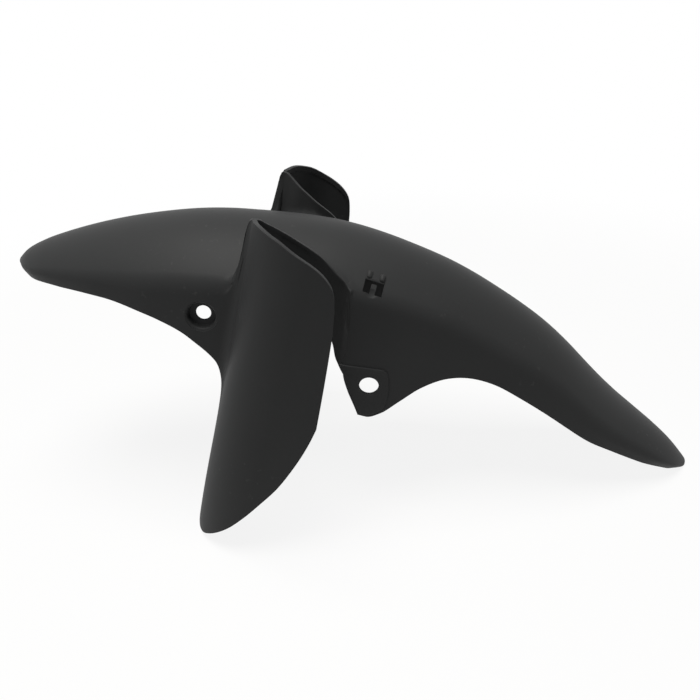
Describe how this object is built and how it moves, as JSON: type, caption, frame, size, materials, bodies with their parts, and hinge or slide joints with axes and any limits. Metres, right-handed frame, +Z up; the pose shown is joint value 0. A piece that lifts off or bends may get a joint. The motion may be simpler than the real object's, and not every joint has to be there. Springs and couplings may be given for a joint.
{
  "type": "front mudguard",
  "caption": "One-piece moulded front mudguard: crowned arch, side skirts with bolt holes and curved fork shields round open leg channels.",
  "frame": {"origin": "on the ground in the middle plane, under the middle of the length; the guard stands on the tips of its two shields and on its tail", "axes": "+X to the rear, +Y to the far side of the picture, +Z up; the wheel would turn about a line along Y"},
  "size_m": [0.6066, 0.23, 0.275],
  "materials": {
    "plastic": "matt black, fine moulded grain"
  },
  "bodies": {
    "root": {"mudguard": "plastic"}
  },
  "joints": []
}
